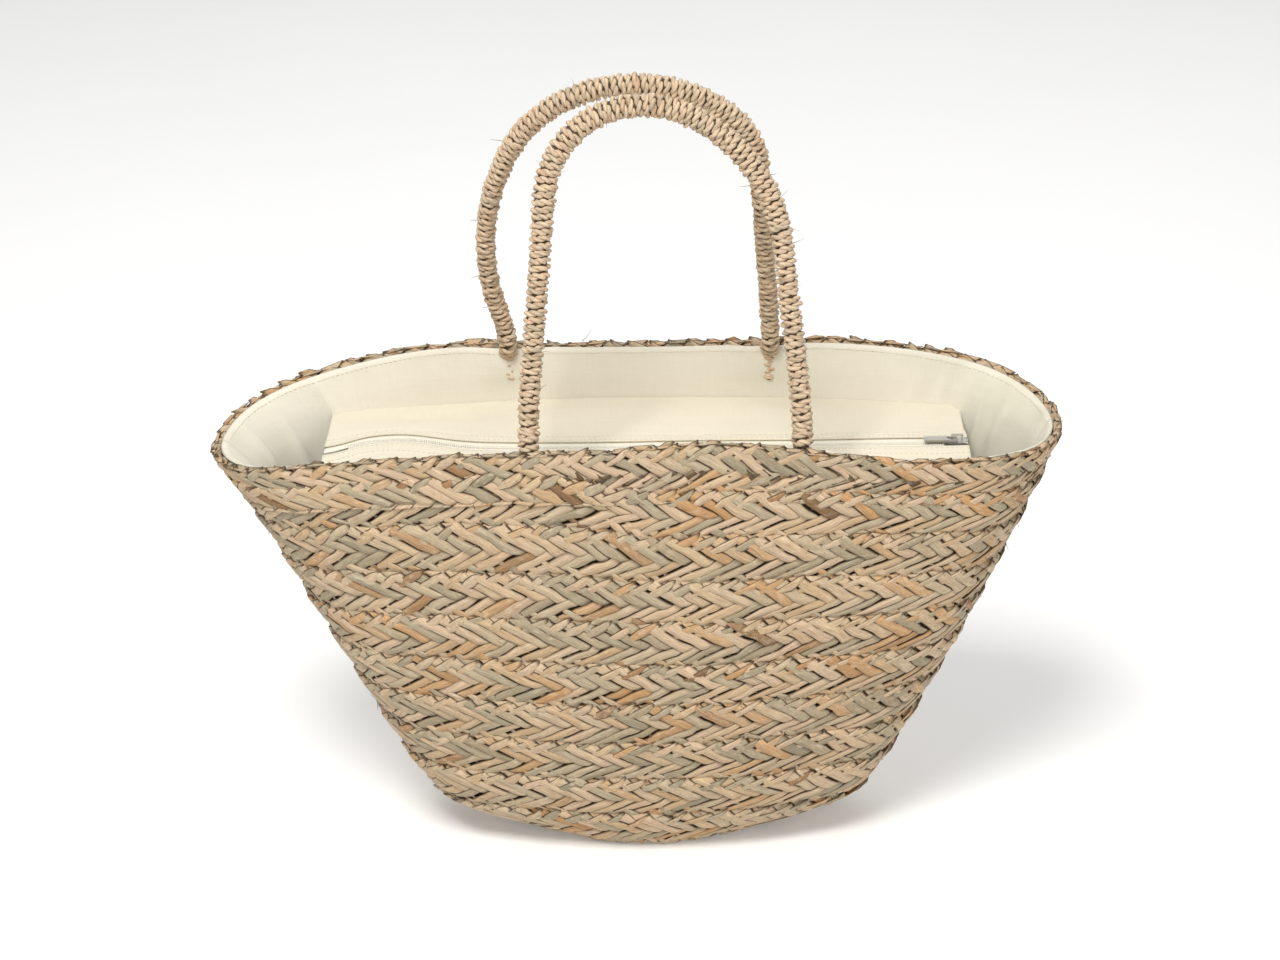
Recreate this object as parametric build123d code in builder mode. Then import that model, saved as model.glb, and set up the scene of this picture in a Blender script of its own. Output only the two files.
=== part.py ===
from build123d import *
from math import cos, radians, sin
import os

os.makedirs("parts", exist_ok=True)

# Woven body
rim_half_length = 275
rim_half_depth = 90
rim_end_radius = 72
base_half_length = 138
base_half_depth = 54
base_end_radius = 44
body_height = 320
end_droop = 26
level_middle = 80
side_bulge = 6
course_count = 10
base_thickness = 6
wall = 5
level_count = 8
level_margin = 12

# Lining
lining_gap = 0.3
lining_thickness = 0.8
hem_drop = 8
lining_clear = 0.6

# Closure
closure_drop = 37
closure_end_gap = 55
cloth = 1.2
fold_inset = 29.5
fold_gap = 0.95
cloth_edge = 7
tape_thickness = 0.7
tape_outer = 15
coil_outer = 3.2
coil_inner = 0.6
coil_height = 2.2
coil_end = 16

# Slider and puller
slider_length = 12
slider_width = 9.5
plate = 1.2
channel = 2.8
lip_width = 1.05
lip_opening = 1.5
post_width = 0.6
park_gap = 2.5
bridge_length = 8
bridge_height = 4.6
bridge_width = 1.6
bridge_bar = 1.2
puller_length = 23
puller_width = 6.4
puller_thickness = 1.3
puller_bar_radius = 0.65
puller_arm = 1.3
puller_hole = 6
stop_length = 1.5

# Carrying handles
handle_radius = 8.5
core_radius = 6
handle_gap = 0.5
hinge_rise = 20
tail_gap = 0.7
tail_length = 40
handle_lean = 15.5
front_foot = -75
front_leg = (5.2, 141)
front_bends = ((61, 74), (71, 39), (105, 55.5))
rear_foot = -94
rear_leg = (-20, 190, 44)
rear_bends = ((93, 54.5), (90, 53), (65, 44.5))
lashing_height = 9
lashing_wall = 1.2

def half_length(z):
    t = z / end_height
    straight = base_half_length + (rim_half_length - base_half_length) * t
    return straight + 4 * side_bulge * t * (1 - t)


def half_depth(z):
    t = z / body_height
    return base_half_depth + (rim_half_depth - base_half_depth) * (1 - (1 - t) ** 3)


def end_radius(z):
    t = z / body_height
    return base_end_radius + (rim_end_radius - base_end_radius) * (1 - (1 - t) ** 2)


# Derived sizes
course_height = body_height / course_count
hinge_z = body_height + hinge_rise
closure_z = body_height - closure_drop
end_height = body_height - end_droop
droop_run = rim_half_length - level_middle
outer_box = 2 * rim_half_length + 80
hinge_level = closure_z + cloth / 2
closure_length = 2 * (half_length(closure_z) - closure_end_gap)
fold_offset = half_depth(closure_z) - fold_inset
coil_length = closure_length - 2 * coil_end
slider_x = coil_length / 2 + park_gap + slider_length / 2


def side_depth(z, inset, x):
    # half depth of the long flat side at x from the middle
    centre = half_length(z) - end_radius(z)
    depth = half_depth(z)
    radius = end_radius(z)
    side = (centre**2 + depth**2 - radius**2) / (2 * (depth - radius)) - inset
    return depth - inset - side + (side**2 - x**2) ** 0.5


def oval(length, depth, radius):
    # long flat arc from (-reach, rise) over the middle to (reach, rise), tangent to the end arcs
    centre = length - radius
    side = (centre**2 + depth**2 - radius**2) / (2 * (depth - radius))
    ux = centre / (side - radius)
    uy = (side - depth) / (side - radius)
    reach = centre + radius * ux
    rise = radius * uy
    ThreePointArc((-reach, rise), (0, depth), (reach, rise))
    ThreePointArc((reach, rise), (length, 0), (reach, -rise))
    ThreePointArc((reach, -rise), (0, -depth), (-reach, -rise))
    ThreePointArc((-reach, -rise), (-length, 0), (-reach, rise))


def shell_solid(inset):
    with BuildPart() as solid:
        for index in range(level_count):
            z = index * (body_height + level_margin) / (level_count - 1)
            with BuildSketch(Plane.XY.offset(z)):
                with BuildLine():
                    oval(half_length(z) - inset, half_depth(z) - inset, end_radius(z) - inset)
                make_face()
        loft()
    return solid.part


def band(low, low_droop, high, high_droop):
    # slab whose faces are level in the middle and fall away along X towards both ends
    half = outer_box / 2

    def fall(droop, x):
        radius = (droop_run**2 + droop**2) / (2 * droop)
        return radius - (radius**2 - (x - level_middle) ** 2) ** 0.5

    def edge(z, droop):
        if droop == 0:
            Line((-half, z), (half, z))
            return
        middle = (level_middle + half) / 2
        ThreePointArc((-half, z - fall(droop, half)), (-middle, z - fall(droop, middle)), (-level_middle, z))
        Line((-level_middle, z), (level_middle, z))
        ThreePointArc((level_middle, z), (middle, z - fall(droop, middle)), (half, z - fall(droop, half)))

    low_end = low - (fall(low_droop, half) if low_droop else 0)
    high_end = high - (fall(high_droop, half) if high_droop else 0)
    with BuildPart() as slab:
        with BuildSketch(Plane.XZ):
            with BuildLine():
                edge(low, low_droop)
                edge(high, high_droop)
                Line((-half, low_end), (-half, high_end))
                Line((half, low_end), (half, high_end))
            make_face()
        extrude(amount=rim_half_depth + 20, both=True)
    return slab.part


def droop_at(z):
    return 0 if z <= base_thickness else end_droop * (z / body_height) ** 1.3


outer_body = shell_solid(0)
inner_body = shell_solid(wall)
lining_outer = shell_solid(wall + lining_gap)
lining_inner = shell_solid(wall + lining_gap + lining_thickness)
closure_room = shell_solid(wall + lining_gap + lining_thickness + lining_gap)

# Flat woven base
with BuildPart() as base_braid:
    add(outer_body)
    add(band(-20, 0, base_thickness, 0), mode=Mode.INTERSECT)
base_braid.part.label = "base_braid"
export_step(base_braid.part, "parts/base_braid.step")

# Ten courses of the flat plait, the last one being the rim
for index in range(course_count):
    low = base_thickness if index == 0 else index * course_height
    high = (index + 1) * course_height
    with BuildPart() as braid_course:
        add(outer_body)
        add(inner_body, mode=Mode.SUBTRACT)
        add(band(low, droop_at(low), high, droop_at(high)), mode=Mode.INTERSECT)
    name = f"braid_course_{index + 1:02d}"
    braid_course.part.label = name
    export_step(braid_course.part, f"parts/{name}.step")

# Handles: two legs joined by tangent arcs, drawn flat and then set in a leaning plane
sides = {"front": -1, "rear": 1}
loops = {}
for side in sides:
    with BuildLine() as loop:
        if side == "front":
            piece = PolarLine((front_foot, 0), front_leg[1], angle=90 - front_leg[0])
            bends = front_bends
        else:
            heading = radians(90 - rear_leg[0])
            piece = JernArc((rear_foot, 0), (cos(heading), sin(heading)), rear_leg[1], -rear_leg[2])
            bends = rear_bends
        for radius, turn in bends:
            piece = JernArc(piece @ 1, piece % 1, radius, -turn)
        down = piece % 1
        Line(piece @ 1, piece @ 1 - down * ((piece @ 1).Y / down.Y))
    loops[side] = loop.line
feet_reach = max(abs((loops[side] @ end).X) for side in sides for end in (0, 1))
tail_foot = hinge_z - handle_radius - tail_gap - tail_length
handle_y = side_depth(tail_foot, wall, feet_reach) - handle_radius - handle_gap
legs = {}
for side, sign in sides.items():
    tilt = radians(handle_lean)
    across = (0, -cos(tilt), -sign * sin(tilt))
    leaning = Plane(origin=(0, sign * handle_y, hinge_z), x_dir=(1, 0, 0), z_dir=across)
    path = leaning.from_local_coords(loops[side])
    ends = (path @ 0, path @ 1)
    with BuildPart() as handle_core:
        with BuildSketch(Plane(origin=path @ 0, z_dir=path % 0)):
            Circle(core_radius)
        sweep(path=path)
    handle_core.part.label = f"{side}_handle_core"
    with BuildPart() as handle_wrap:
        with BuildSketch(Plane(origin=path @ 0, z_dir=path % 0)):
            Circle(handle_radius)
        sweep(path=path)
        with Locations(*ends):
            Sphere(handle_radius)
        add(handle_core.part, mode=Mode.SUBTRACT)
    handle_wrap.part.label = f"{side}_handle_wrap"
    export_step(handle_core.part, f"parts/{side}_handle_core.step")
    export_step(handle_wrap.part, f"parts/{side}_handle_wrap.step")
    legs[side] = ends

# Fixed ends of the handles inside the rim, each lashed to the wall
tail_cutters = []
for side, sign in sides.items():
    for hand, end in zip(("left", "right"), legs[side]):
        top = hinge_z - handle_radius - tail_gap
        foot_x = end.X
        with BuildPart() as handle_tail:
            with Locations((foot_x, sign * handle_y, top - handle_radius)):
                Sphere(handle_radius)
                Cylinder(handle_radius, tail_length - handle_radius, align=(Align.CENTER, Align.CENTER, Align.MAX))
        handle_tail.part.label = f"{side}_{hand}_handle_tail"
        export_step(handle_tail.part, f"parts/{side}_{hand}_handle_tail.step")
        with BuildPart() as tail_lashing:
            with Locations((foot_x, sign * handle_y, top - tail_length + lashing_height)):
                Cylinder(handle_radius + lashing_wall, lashing_height)
            with Locations((foot_x, sign * (handle_y + 10), top - tail_length + lashing_height)):
                Box(2 * handle_radius, 20, lashing_height)
            add(inner_body, mode=Mode.INTERSECT)
            add(handle_tail.part, mode=Mode.SUBTRACT)
        tail_lashing.part.label = f"{side}_{hand}_handle_lashing"
        export_step(tail_lashing.part, f"parts/{side}_{hand}_handle_lashing.step")
        with BuildPart() as cutter:
            room = handle_radius + lashing_wall + lining_clear
            with Locations((foot_x, sign * handle_y, top - tail_length - lining_clear)):
                Box(2 * room, 2 * room + 10, 100, align=(Align.CENTER, Align.CENTER, Align.MIN))
        tail_cutters.append(cutter.part)

# Lining: front and rear panels and a bottom
lining_floor = base_thickness + lining_gap
for side, sign in sides.items():
    with BuildPart() as lining_panel:
        add(lining_outer)
        add(lining_inner, mode=Mode.SUBTRACT)
        hem = body_height - hem_drop
        add(band(lining_floor + lining_thickness + lining_gap, 0, hem, droop_at(hem)), mode=Mode.INTERSECT)
        with Locations((0, sign * (0.15 + 100), body_height / 2)):
            Box(outer_box, 200, 2 * body_height, mode=Mode.INTERSECT)
        for cutter in tail_cutters:
            add(cutter, mode=Mode.SUBTRACT)
    lining_panel.part.label = f"{side}_lining_panel"
    export_step(lining_panel.part, f"parts/{side}_lining_panel.step")
with BuildPart() as lining_bottom:
    add(lining_outer)
    add(band(lining_floor, 0, lining_floor + lining_thickness, 0), mode=Mode.INTERSECT)
lining_bottom.part.label = "lining_bottom"
export_step(lining_bottom.part, "parts/lining_bottom.step")

# Closure: seam strip on the lining, folding flap, zip tape and coil on each side
for side, sign in sides.items():
    with BuildPart() as seam_strip:
        with Locations((0, sign * (fold_offset + fold_gap / 2 + 50), hinge_level)):
            Box(closure_length, 100, cloth)
        add(closure_room, mode=Mode.INTERSECT)
    seam_strip.part.label = f"{side}_seam_strip"
    export_step(seam_strip.part, f"parts/{side}_seam_strip.step")

    flap_low = fold_offset - fold_gap / 2
    with BuildPart() as flap:
        with Locations((0, sign * (flap_low + cloth_edge) / 2, hinge_level)):
            Box(closure_length, flap_low - cloth_edge, cloth)
    flap.part.label = f"{side}_flap"
    export_step(flap.part, f"parts/{side}_flap.step")

    # the tape lies under the flap's edge and rises to the coil's middle
    tape_top = hinge_level - cloth / 2
    length = closure_length if side == "rear" else coil_length
    with BuildPart() as zip_tape:
        with Locations((0, sign * (tape_outer + coil_outer) / 2, tape_top - tape_thickness / 2)):
            Box(length, tape_outer - coil_outer, tape_thickness)
    zip_tape.part.label = f"{side}_zip_tape"
    export_step(zip_tape.part, f"parts/{side}_zip_tape.step")

    coil_z = tape_top - tape_thickness / 2
    with BuildPart() as zip_coil:
        with BuildSketch(Plane.YZ.offset(-coil_length / 2)):
            with Locations((sign * (coil_outer + coil_inner) / 2, coil_z)):
                SlotOverall(coil_outer - coil_inner, coil_height)
        extrude(amount=coil_length)
    zip_coil.part.label = f"{side}_zip_coil"
    export_step(zip_coil.part, f"parts/{side}_zip_coil.step")

# Stops clamped on the rear tape beyond each end of the slider's travel
for hand, sign in (("left", -1), ("right", 1)):
    stop_x = slider_x + slider_length / 2 + 0.3 + stop_length / 2
    with BuildPart() as zip_stop:
        with Locations((sign * stop_x, coil_outer + 1.5, coil_z)):
            Box(stop_length, 3, coil_height)
            Box(stop_length, 3, tape_thickness, mode=Mode.SUBTRACT)
        with Locations((sign * stop_x, coil_outer - 0.5, coil_z)):
            Box(stop_length, 1, coil_height)
    zip_stop.part.label = f"zip_stop_{hand}"
    export_step(zip_stop.part, f"parts/zip_stop_{hand}.step")

# Slider: two plates on a thin post, lips that hold the tape, and a bridge for the puller
with BuildPart() as zip_slider:
    for up in (-1, 1):
        with Locations((slider_x, 0, coil_z + up * (channel + plate) / 2)):
            Box(slider_length, slider_width, plate)
        for across in (-1, 1):
            lip = (channel - lip_opening) / 2
            lip_y = across * (slider_width - lip_width) / 2
            with Locations((slider_x, lip_y, coil_z + up * (lip_opening + lip) / 2)):
                Box(slider_length, lip_width, lip)
    with Locations((slider_x, 0, coil_z)):
        Box(slider_length * 0.7, post_width, channel)
    bridge_base = coil_z + channel / 2 + plate
    with Locations((slider_x, 0, bridge_base + bridge_height / 2)):
        Box(bridge_length, bridge_width, bridge_height)
    window = bridge_height - bridge_bar
    with Locations((slider_x, 0, bridge_base + window / 2)):
        Box(bridge_length - 2 * bridge_bar, bridge_width, window, mode=Mode.SUBTRACT)
zip_slider.part.label = "zip_slider"
export_step(zip_slider.part, "parts/zip_slider.step")

# Puller: flat tab with an eye whose bar passes under the bridge
puller_z = bridge_base + 0.5 + puller_thickness / 2
eye_x = slider_x
with BuildPart() as zip_puller:
    with BuildSketch(Plane.XY.offset(puller_z - puller_thickness / 2)):
        with Locations((eye_x - puller_length / 2 + puller_bar_radius, 0)):
            RectangleRounded(puller_length, puller_width, 2)
        with Locations((eye_x - puller_hole / 2, 0)):
            Rectangle(puller_hole + 2 * puller_bar_radius, puller_width - 2 * puller_arm, mode=Mode.SUBTRACT)
    extrude(amount=puller_thickness)
    with Locations((eye_x, 0, puller_z)):
        Cylinder(puller_bar_radius, puller_width - puller_arm, rotation=(90, 0, 0))
zip_puller.part.label = "zip_puller"
export_step(zip_puller.part, "parts/zip_puller.step")
print("hinge", hinge_z, "handle_y", handle_y, "fold", fold_offset, "level", hinge_level)
print("closure", closure_length, "slider", slider_x, "coil", coil_length, "coil z", coil_z, "puller", puller_z)
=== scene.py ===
import bmesh
import bpy
import numpy as np
from math import cos, pi, radians, sin, tan
from mathutils import Matrix, Vector, noise


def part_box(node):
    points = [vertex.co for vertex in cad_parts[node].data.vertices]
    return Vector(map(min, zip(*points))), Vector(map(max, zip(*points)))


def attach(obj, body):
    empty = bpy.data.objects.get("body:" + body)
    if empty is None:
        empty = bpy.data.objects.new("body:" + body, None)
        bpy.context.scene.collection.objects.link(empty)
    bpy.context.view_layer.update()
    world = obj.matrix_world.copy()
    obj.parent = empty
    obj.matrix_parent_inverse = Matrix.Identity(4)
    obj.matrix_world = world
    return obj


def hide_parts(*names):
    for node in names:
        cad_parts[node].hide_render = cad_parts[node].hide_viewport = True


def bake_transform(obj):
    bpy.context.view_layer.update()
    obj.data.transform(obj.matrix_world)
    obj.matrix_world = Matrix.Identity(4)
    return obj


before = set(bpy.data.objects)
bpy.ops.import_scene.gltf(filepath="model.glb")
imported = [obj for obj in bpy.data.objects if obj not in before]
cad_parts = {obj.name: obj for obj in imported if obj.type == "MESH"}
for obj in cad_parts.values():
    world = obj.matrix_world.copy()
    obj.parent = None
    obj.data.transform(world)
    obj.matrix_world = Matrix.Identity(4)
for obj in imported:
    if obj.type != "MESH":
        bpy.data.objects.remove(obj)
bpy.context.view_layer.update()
mm = 0.001
rng = np.random.default_rng(7)


# node trees

class Value:
    # a socket that does arithmetic: each operator adds a Math node
    def __init__(self, graph, socket):
        self.graph = graph
        self.socket = socket

    def maths(self, kind, *others):
        values = {index: other for index, other in enumerate((self,) + others)}
        return self.graph.node("ShaderNodeMath", {"operation": kind}, values)[0]

    def __add__(self, other):
        return self.maths("ADD", other)

    def __sub__(self, other):
        return self.maths("SUBTRACT", other)

    def __mul__(self, other):
        return self.maths("MULTIPLY", other)

    def __truediv__(self, other):
        return self.maths("DIVIDE", other)

    def __rsub__(self, other):
        return self.graph.node("ShaderNodeMath", {"operation": "SUBTRACT"}, {0: other, 1: self})[0]

    def __pow__(self, other):
        return self.maths("POWER", other)

    __radd__ = __add__
    __rmul__ = __mul__


class Graph:
    def __init__(self, tree):
        self.tree = tree

    def node(self, kind, settings=None, values=None):
        made = self.tree.nodes.new(kind)
        for key, setting in (settings or {}).items():
            if key == "stops":
                self.setStops(made.color_ramp, setting)
            else:
                setattr(made, key, setting)
        for key, value in (values or {}).items():
            socket = made.inputs[key]
            if isinstance(value, Value):
                self.tree.links.new(value.socket, socket)
            elif value is not None:
                socket.default_value = value
        return Outputs(self, made)

    def between(self, value, low, high, first, last):
        return self.node("ShaderNodeMapRange", None, {0: value, 1: low, 2: high, 3: first, 4: last})[0]

    def mottle(self, place, scale, detail, roughness=None):
        values = {"Vector": place, "Scale": scale, "Detail": detail, "Roughness": roughness}
        return self.node("ShaderNodeTexNoise", None, values)[0]

    def setStops(self, ramp, stops):
        while len(ramp.elements) < len(stops):
            ramp.elements.new(1.0)
        for element, (place, colour) in zip(ramp.elements, stops):
            element.position = place
            element.color = (*colour, 1.0)

    def vector(self, kind, *parts):
        return self.node("ShaderNodeVectorMath", {"operation": kind}, dict(enumerate(parts)))[0]

    def scaled(self, vector, amount):
        return self.node("ShaderNodeVectorMath", {"operation": "SCALE"}, {0: vector, "Scale": amount})[0]

    def store(self, geometry, name, value, domain="POINT"):
        settings = {"data_type": "FLOAT", "domain": domain}
        values = {"Geometry": geometry, "Name": name, "Value": value}
        return self.node("GeometryNodeStoreNamedAttribute", settings, values)[0]

    def named(self, name, kind="FLOAT"):
        return self.node("GeometryNodeInputNamedAttribute", {"data_type": kind}, {"Name": name})[0]

    def combine(self, x=0.0, y=0.0, z=0.0):
        return self.node("ShaderNodeCombineXYZ", None, {0: x, 1: y, 2: z})[0]

    def split(self, vector):
        parts = self.node("ShaderNodeSeparateXYZ", None, {0: vector})
        return parts[0], parts[1], parts[2]

    def mix(self, factor, first, second, blend="MIX"):
        made = self.tree.nodes.new("ShaderNodeMix")
        made.data_type = "RGBA"
        made.blend_type = blend
        for socket, value in ((made.inputs[0], factor), (made.inputs[6], first), (made.inputs[7], second)):
            if isinstance(value, Value):
                self.tree.links.new(value.socket, socket)
            else:
                socket.default_value = value if socket.type == "VALUE" else (*value[:3], 1.0)
        return Value(self, made.outputs[2])


class Outputs:
    def __init__(self, graph, node):
        self.graph = graph
        self.made = node

    def __getitem__(self, key):
        if isinstance(key, int):
            shown = [socket for socket in self.made.outputs if socket.enabled]
            return Value(self.graph, shown[key])
        return Value(self.graph, self.made.outputs[key])


def newMaterial(name, build):
    material = bpy.data.materials.new(name)
    material.use_nodes = True
    tree = material.node_tree
    tree.nodes.clear()
    graph = Graph(tree)
    shader = tree.nodes.new("ShaderNodeBsdfPrincipled")
    output = tree.nodes.new("ShaderNodeOutputMaterial")
    tree.links.new(shader.outputs[0], output.inputs[0])
    for key, value in build(graph).items():
        if isinstance(value, Value):
            tree.links.new(value.socket, shader.inputs[key])
        else:
            shader.inputs[key].default_value = value
    return material


def newTree(name, inputs):
    # geometry tree with a mesh in, a mesh out and the named inputs given as (name, socket type)
    tree = bpy.data.node_groups.new(name, "GeometryNodeTree")
    tree.interface.new_socket("Geometry", in_out="OUTPUT", socket_type="NodeSocketGeometry")
    tree.interface.new_socket("Geometry", in_out="INPUT", socket_type="NodeSocketGeometry")
    for label, kind in inputs:
        tree.interface.new_socket(label, in_out="INPUT", socket_type=kind)
    graph = Graph(tree)
    entry = graph.node("NodeGroupInput")
    leave = tree.nodes.new("NodeGroupOutput")
    return tree, graph, entry, leave


def finishTree(graph, leave, geometry, material, kept=None):
    # realizes and paints the result, and joins it to what is kept as it came in
    whole = graph.node("GeometryNodeRealizeInstances", None, {"Geometry": geometry})[0]
    painted = graph.node("GeometryNodeSetMaterial", None, {"Geometry": whole, "Material": material})[0]
    if kept is not None:
        joined = graph.node("GeometryNodeJoinGeometry")
        graph.tree.links.new(kept.socket, joined.made.inputs[0])
        graph.tree.links.new(painted.socket, joined.made.inputs[0])
        painted = joined[0]
    graph.tree.links.new(painted.socket, leave.inputs[0])


def runTree(host, tree, values, name):
    # evaluates the tree on a host object and returns the result as a plain mesh object
    modifier = host.modifiers.new("make", "NODES")
    modifier.node_group = tree
    for item in tree.interface.items_tree:
        if item.item_type == "SOCKET" and item.in_out == "INPUT" and item.name in values:
            modifier[item.identifier] = values[item.name]
    bpy.context.view_layer.update()
    graph = bpy.context.evaluated_depsgraph_get()
    mesh = bpy.data.meshes.new_from_object(host.evaluated_get(graph))
    host.modifiers.remove(modifier)
    made = bpy.data.objects.new(name, mesh)
    bpy.context.scene.collection.objects.link(made)
    mesh.name = name
    return made


def meshObject(name, points, faces, material=None, smooth=True, uv=None, attributes=None):
    mesh = bpy.data.meshes.new(name)
    mesh.from_pydata([tuple(p) for p in points], [], [tuple(f) for f in faces])
    if uv is not None:
        layer = mesh.uv_layers.new(name="UVMap")
        corners = np.zeros(len(mesh.loops), dtype=np.int64)
        mesh.loops.foreach_get("vertex_index", corners)
        layer.data.foreach_set("uv", np.asarray(uv, float)[corners].ravel())
    for label, values in (attributes or {}).items():
        values = np.asarray(values, float)
        kind = "FLOAT_VECTOR" if values.ndim == 2 else "FLOAT"
        made = mesh.attributes.new(label, kind, "POINT")
        made.data.foreach_set("vector" if values.ndim == 2 else "value", values.ravel())
    if smooth:
        mesh.polygons.foreach_set("use_smooth", [True] * len(mesh.polygons))
    mesh.update()
    made = bpy.data.objects.new(name, mesh)
    bpy.context.scene.collection.objects.link(made)
    if material:
        mesh.materials.append(material)
    return made


def hidden(thing):
    bpy.data.objects.remove(thing)


# shape of the woven body

body = {
    "rimLength": 0.275, "rimDepth": 0.090, "rimRadius": 0.072,
    "baseLength": 0.138, "baseDepth": 0.054, "baseRadius": 0.044,
    "height": 0.320, "droop": 0.026, "level": 0.080, "bulge": 0.006,
    "courses": 10,
}


def bodyHalf(z):
    end = (body["height"] - body["droop"])
    t = z / end
    length = body["baseLength"] + (body["rimLength"] - body["baseLength"]) * t
    length = length + 4 * body["bulge"] * t * (1 - t)
    k = z / body["height"]
    depth = body["baseDepth"] + (body["rimDepth"] - body["baseDepth"]) * (1 - (1 - k) ** 3)
    radius = body["baseRadius"] + (body["rimRadius"] - body["baseRadius"]) * (1 - (1 - k) ** 2)
    return length, depth, radius


def ovalPoint(u, length, depth, radius):
    # u runs once round from the middle of the rear, to -X, along the front to +X and back
    centre = length - radius
    side = (centre**2 + depth**2 - radius**2) / (2 * (depth - radius))
    phi = np.arctan2(centre, side - depth)
    flat, turn = phi * side, (pi - 2 * phi) * radius
    total = 4 * flat + 2 * turn
    s = (u % 1.0) * total
    half = s % (total / 2)
    # first half: rear middle to front middle by the -X end
    a = half / side
    b = phi + (half - flat) / radius
    c = pi - (total / 2 - half) / side
    angle = np.where(half < flat, a, np.where(half < flat + turn, b, c))
    cx = np.where(half < flat, 0, np.where(half < flat + turn, -centre, 0))
    cy = np.where(half < flat, depth - side, np.where(half < flat + turn, 0, side - depth))
    r = np.where((half >= flat) & (half < flat + turn), radius, side)
    nx, ny = -np.sin(angle), np.cos(angle)
    x, y = cx + r * nx, cy + r * ny
    flip = np.where(s >= total / 2, -1.0, 1.0)
    return x * flip, y * flip, nx * flip, ny * flip


def ovalLength(length, depth, radius):
    centre = length - radius
    side = (centre**2 + depth**2 - radius**2) / (2 * (depth - radius))
    phi = np.arctan2(centre, side - depth)
    return 4 * phi * side + 2 * (pi - 2 * phi) * radius


def fallAt(x, level):
    # how far a course that is level in the middle falls towards the ends
    droop = body["droop"] * np.clip(level / body["height"], 1e-4, None) ** 1.3
    run = body["rimLength"] - body["level"]
    radius = (run**2 + droop**2) / (2 * droop)
    away = np.clip(np.abs(x) - body["level"], 0, run + 0.03)
    return radius - np.sqrt(radius**2 - away**2)


baseRings = {"step": 0.0265}  # width of each of the two flat rings under the basket


settled = {
    # how the finished basket has been pulled out of true by hand and use
    "leftOut": 0.0125, "leftDown": 0.004, "rightUp": 0.0055, "rearUp": 0.0070,
    "underTop": 1.4, "underEnd": 0.21, "underSide": 0.11, "underCorner": 0.42, "underLift": 0.009,
    # where the front of the rim rises and dips: middle, spread, height
    "frontWaves": ((0.035, 0.050, 0.0060), (0.180, 0.075, -0.0085), (-0.150, 0.060, -0.0035)),
}


def easeStep(t):
    t = np.clip(t, 0, 1)
    return t * t * (3 - 2 * t)


def settle(place, c):
    x, y, z = place[..., 0], place[..., 1], place[..., 2]
    high = (np.clip(c, 0, None) / body["courses"]) ** 4
    left, right = easeStep((-x - 0.14) / 0.13), easeStep((x - 0.14) / 0.13)
    lap = easeStep(y / 0.05) * np.exp(-(((np.abs(x) - 0.170) / 0.085) ** 2))
    under = np.clip(1 - c / settled["underTop"], 0, 1) ** 2
    far = (x / body["baseLength"]) ** 2
    newX = x * (1 - settled["underEnd"] * under) - settled["leftOut"] * left * high
    newY = y * (1 - under * (settled["underSide"] + settled["underCorner"] * np.clip(far, 0, 1)))
    newZ = z + high * (settled["rightUp"] * right - settled["leftDown"] * left + settled["rearUp"] * lap)
    newZ = newZ + settled["underLift"] * under * np.clip(far, 0, 1)
    for middle, spread, height in settled["frontWaves"]:
        wave = np.exp(-(((x - middle) / spread) ** 2)) * easeStep(-y / 0.05)
        newZ = newZ + height * wave * high * high
    return np.stack([newX, newY, newZ], -1)


def wallPoint(u, c):
    # point on the outer wall at turn share u and course number c (0 at the ground, 10 at the rim)
    level = c * body["height"] / body["courses"]
    z = level
    for _ in range(3):
        x, y, _, _ = ovalPoint(u, *bodyHalf(z))
        z = level - fallAt(x, level)
    return settle(np.stack([x, y, z], -1), c)


def skin(u, c):
    # point and outward direction; below course 0 the skin turns under as the flat base
    u, c = np.broadcast_arrays(np.asarray(u, float), np.asarray(c, float))
    wallC = np.clip(c, 0, None)
    place = wallPoint(u, wallC)
    step = 1e-3
    along = wallPoint(u + step, wallC) - wallPoint(u - step, wallC)
    up = wallPoint(u, wallC + 0.05) - wallPoint(u, np.clip(wallC - 0.05, 0, None))
    out = np.cross(along, up)
    out /= np.linalg.norm(out, axis=-1, keepdims=True)
    length, depth, radius = bodyHalf(0.0)
    inward = np.clip(-c, 0, 2) * baseRings["step"]
    bx, by, _, _ = ovalPoint(u, length - inward, depth - inward, (depth - inward) * radius / depth)
    flat = settle(np.stack([bx, by, np.zeros_like(bx)], -1), np.zeros_like(bx))
    down = np.stack([np.zeros_like(bx), np.zeros_like(bx), -np.ones_like(bx)], -1)
    below = (c < 0)[..., None]
    return np.where(below, flat, place), np.where(below, down, out)


spiral = {
    # the courses climb towards the left of the front, where the last turn ends under the rim
    "mergeAt": 0.478, "spread": 0.035, "fade": 0.22,
    "rise": {8: 0.42, 7: 0.27, 6: 0.15, 5: 0.07, 4: 0.02},
    "widen": {8: 0.13, 7: 0.13, 6: 0.10, 5: 0.06, 4: 0.03},
}


def rowShift(u, row, kind="rise"):
    climb = easeStep((spiral["mergeAt"] + spiral["spread"] - u) / (2 * spiral["spread"]))
    return spiral[kind].get(row, 0.0) * climb * easeStep(u / spiral["fade"])


def makeSkinMap():
    # a fine mesh of the skin whose UV is (turn share, course share), to lay flat strands on
    us = np.linspace(0, 1, 361)
    cs = np.concatenate([np.linspace(-2, -0.001, 14), np.linspace(0, 10.6, 90)])
    uu, cc = np.meshgrid(us, cs)
    place, out = skin(uu, cc)
    rows, columns = uu.shape
    index = np.arange(rows * columns).reshape(rows, columns)
    faces = np.stack([index[:-1, :-1], index[:-1, 1:], index[1:, 1:], index[1:, :-1]], -1).reshape(-1, 4)
    uv = np.stack([uu, (cc + 2.5) / 14], -1).reshape(-1, 2)
    return meshObject("skinMap", place.reshape(-1, 3), faces, uv=uv,
                      attributes={"outward": out.reshape(-1, 3)})


# seagrass

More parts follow.
